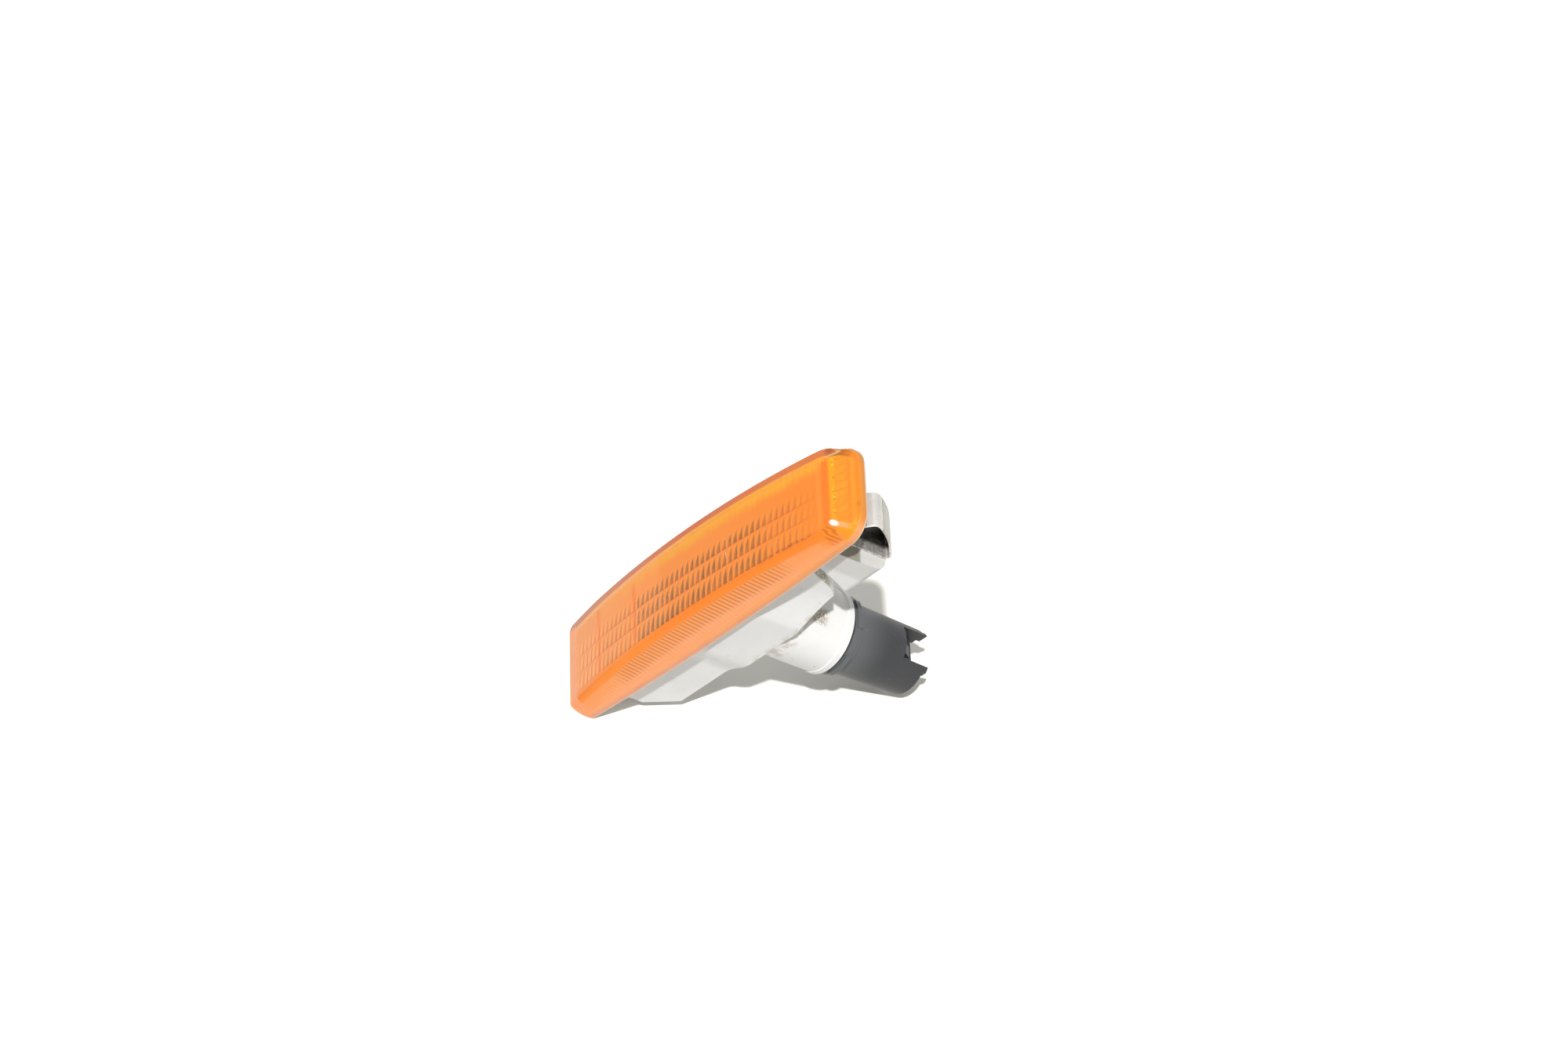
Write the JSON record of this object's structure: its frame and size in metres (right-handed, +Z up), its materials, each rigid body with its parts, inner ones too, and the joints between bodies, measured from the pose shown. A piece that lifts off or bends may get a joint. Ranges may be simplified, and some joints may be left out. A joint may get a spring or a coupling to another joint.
{
  "type": "side repeater lamp",
  "caption": "Long low amber lens on a grey moulded housing, with a round rear sleeve, a twist-in bulb holder and a bent spring clip at one end.",
  "frame": {"origin": "centre of the lens's outline, on the plane of the rim's seat", "axes": "+X along the lens towards the spring clip, +Y into the wing along the sleeve, +Z up"},
  "size_m": [0.109, 0.0701, 0.028],
  "materials": {
    "lens": "clear amber, moulded flutes inside",
    "housing": "light grey, lightly soiled",
    "spring": "satin",
    "holder": "black, scuffed",
    "seal": "grey, soft",
    "glass": "clear",
    "contact": "satin"
  },
  "bodies": {
    "root": {"lens": "lens", "housing": "housing", "spring_clip": "spring", "bulb_holder": "holder", "holder_seal": "seal", "bulb": "glass", "upper_terminal": "contact", "lower_terminal": "contact"}
  },
  "joints": []
}
